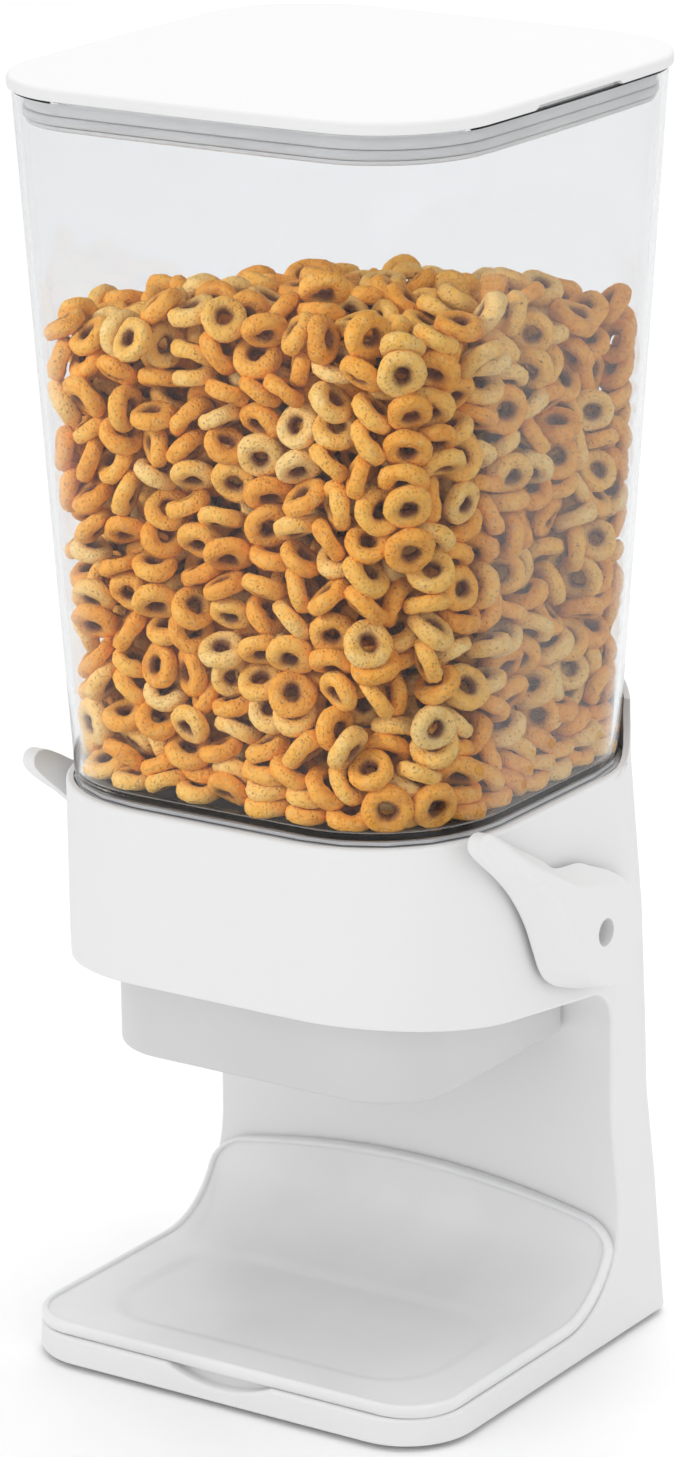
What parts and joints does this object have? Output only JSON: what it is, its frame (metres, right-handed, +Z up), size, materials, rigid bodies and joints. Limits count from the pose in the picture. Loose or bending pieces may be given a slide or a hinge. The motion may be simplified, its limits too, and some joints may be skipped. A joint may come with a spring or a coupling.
{
  "type": "cereal dispenser",
  "caption": "Countertop gravity dispenser: clear tapered hopper with push-in lid on a white C-shaped stand, side levers that swing a gate in the spout, and a dished catch tray.",
  "frame": {"origin": "on the resting plane under the middle of the hopper", "axes": "+Z up, -Y towards the user (the tray side), +X to the user's right; X = 0 is the plane of symmetry"},
  "size_m": [0.192, 0.1768, 0.435],
  "materials": {
    "white_abs": "satin moulded ABS, white",
    "clear_san": "clear moulded styrene plastic, polished",
    "frosted_pp": "translucent grey polypropylene",
    "tray_pp": "satin grey-white polypropylene",
    "grey_rubber": "soft dark grey rubber",
    "silicone": "translucent grey silicone",
    "nylon": "natural nylon",
    "steel": "plain zinc-plated steel"
  },
  "bodies": {
    "stand": {"base_shell": "white_abs", "column_shell": "white_abs", "housing_shell": "white_abs", "base_plate": "white_abs", "foot_1": "grey_rubber", "foot_2": "grey_rubber", "foot_3": "grey_rubber", "foot_4": "grey_rubber", "base_screw_1": "steel", "base_screw_2": "steel", "base_screw_3": "steel", "base_screw_4": "steel", "hopper_funnel": "white_abs", "discharge_chute": "white_abs", "chute_screw_1": "steel", "chute_screw_2": "steel", "chute_screw_3": "steel", "chute_screw_4": "steel", "axle_bush_left": "nylon", "axle_bush_right": "nylon", "return_spring_left": "steel", "return_spring_right": "steel", "hopper_gasket": "grey_rubber"},
    "hopper": {"hopper": "clear_san"},
    "lid": {"lid_plate": "white_abs", "lid_plug": "frosted_pp", "lid_seal": "silicone"},
    "levers": {"lever_left": "white_abs", "lever_right": "white_abs", "lever_screw_left": "steel", "lever_screw_right": "steel", "axle_left": "steel", "axle_right": "steel", "gate_flap": "frosted_pp", "gate_seal": "silicone"},
    "tray": {"catch_tray": "tray_pp"}
  },
  "joints": [
    {"name": "hopper_lift", "type": "slide", "parent": "stand", "child": "hopper", "axis": [0, 0, 1], "range_m": [0, 0.06]},
    {"name": "lid_lift", "type": "slide", "parent": "hopper", "child": "lid", "axis": [0, 0, 1], "range_m": [0, 0.04]},
    {"name": "lever_press", "type": "hinge", "parent": "stand", "child": "levers", "pos_m": [0, 0.004, 0.157], "axis": [1, 0, 0], "range_deg": [0, 34], "stiffness_Nm_per_rad": 0.6, "springref_deg": -14.32},
    {"name": "tray_pull", "type": "slide", "parent": "stand", "child": "tray", "axis": [0, -1, 0], "range_m": [0, 0.08]}
  ]
}
